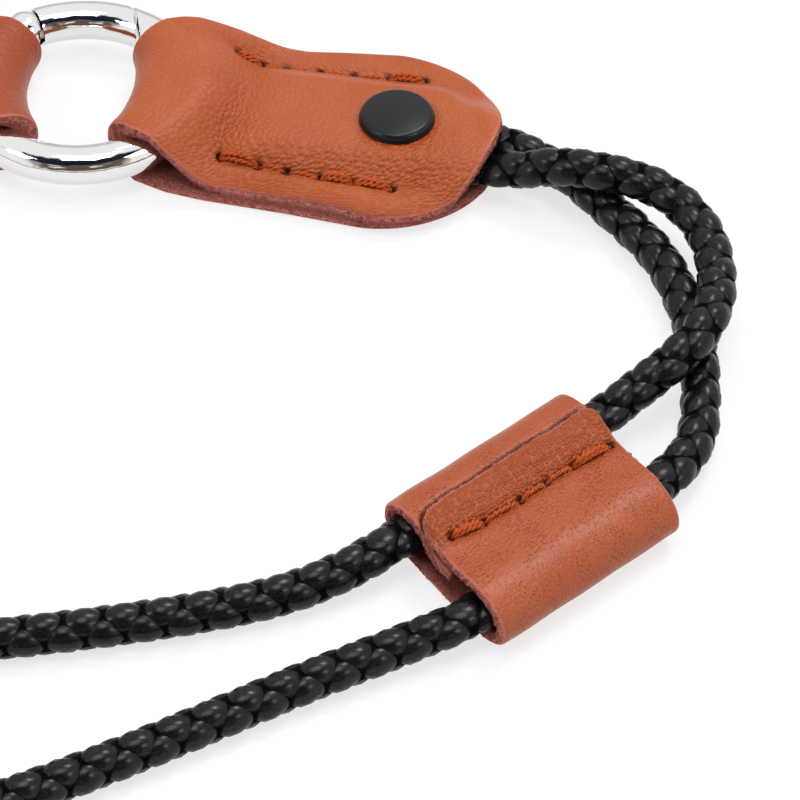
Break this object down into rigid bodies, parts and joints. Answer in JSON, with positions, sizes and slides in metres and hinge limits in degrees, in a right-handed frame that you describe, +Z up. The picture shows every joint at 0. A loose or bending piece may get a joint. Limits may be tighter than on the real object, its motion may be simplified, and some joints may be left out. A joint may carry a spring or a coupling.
{
  "type": "phone lanyard",
  "caption": "Neck lanyard for a phone: a braided cord loop through a sewn leather slider, joined by a riveted leather tab to a sprung gate ring with a second leather tab.",
  "frame": {"origin": "on the surface it lies on, under the middle of the cord tab's underside", "axes": "+X along the cord tab, from the ring towards the cord's mouth; +Z up off the surface"},
  "size_m": [0.1957, 0.1338, 0.0086],
  "materials": {
    "leather": "tan pebbled grain with raw edges",
    "nickel": "polished nickel plate",
    "black_cap": "satin black",
    "braided_cord": "satin black braided leather"
  },
  "bodies": {
    "lanyard": {"ring_body": "nickel", "cord_tab": "leather", "phone_tab": "leather", "cap_rivet": "black_cap", "slider": "leather", "cord": "braided_cord"},
    "gate": {"ring_gate": "nickel"}
  },
  "joints": [
    {"name": "gate_hinge", "type": "hinge", "parent": "lanyard", "child": "gate", "pos_m": [-0.0322, 0.0082, 0.0039], "axis": [0, 0, -1], "range_deg": [0, 32], "stiffness_Nm_per_rad": 0.004, "springref_deg": -20.05}
  ]
}
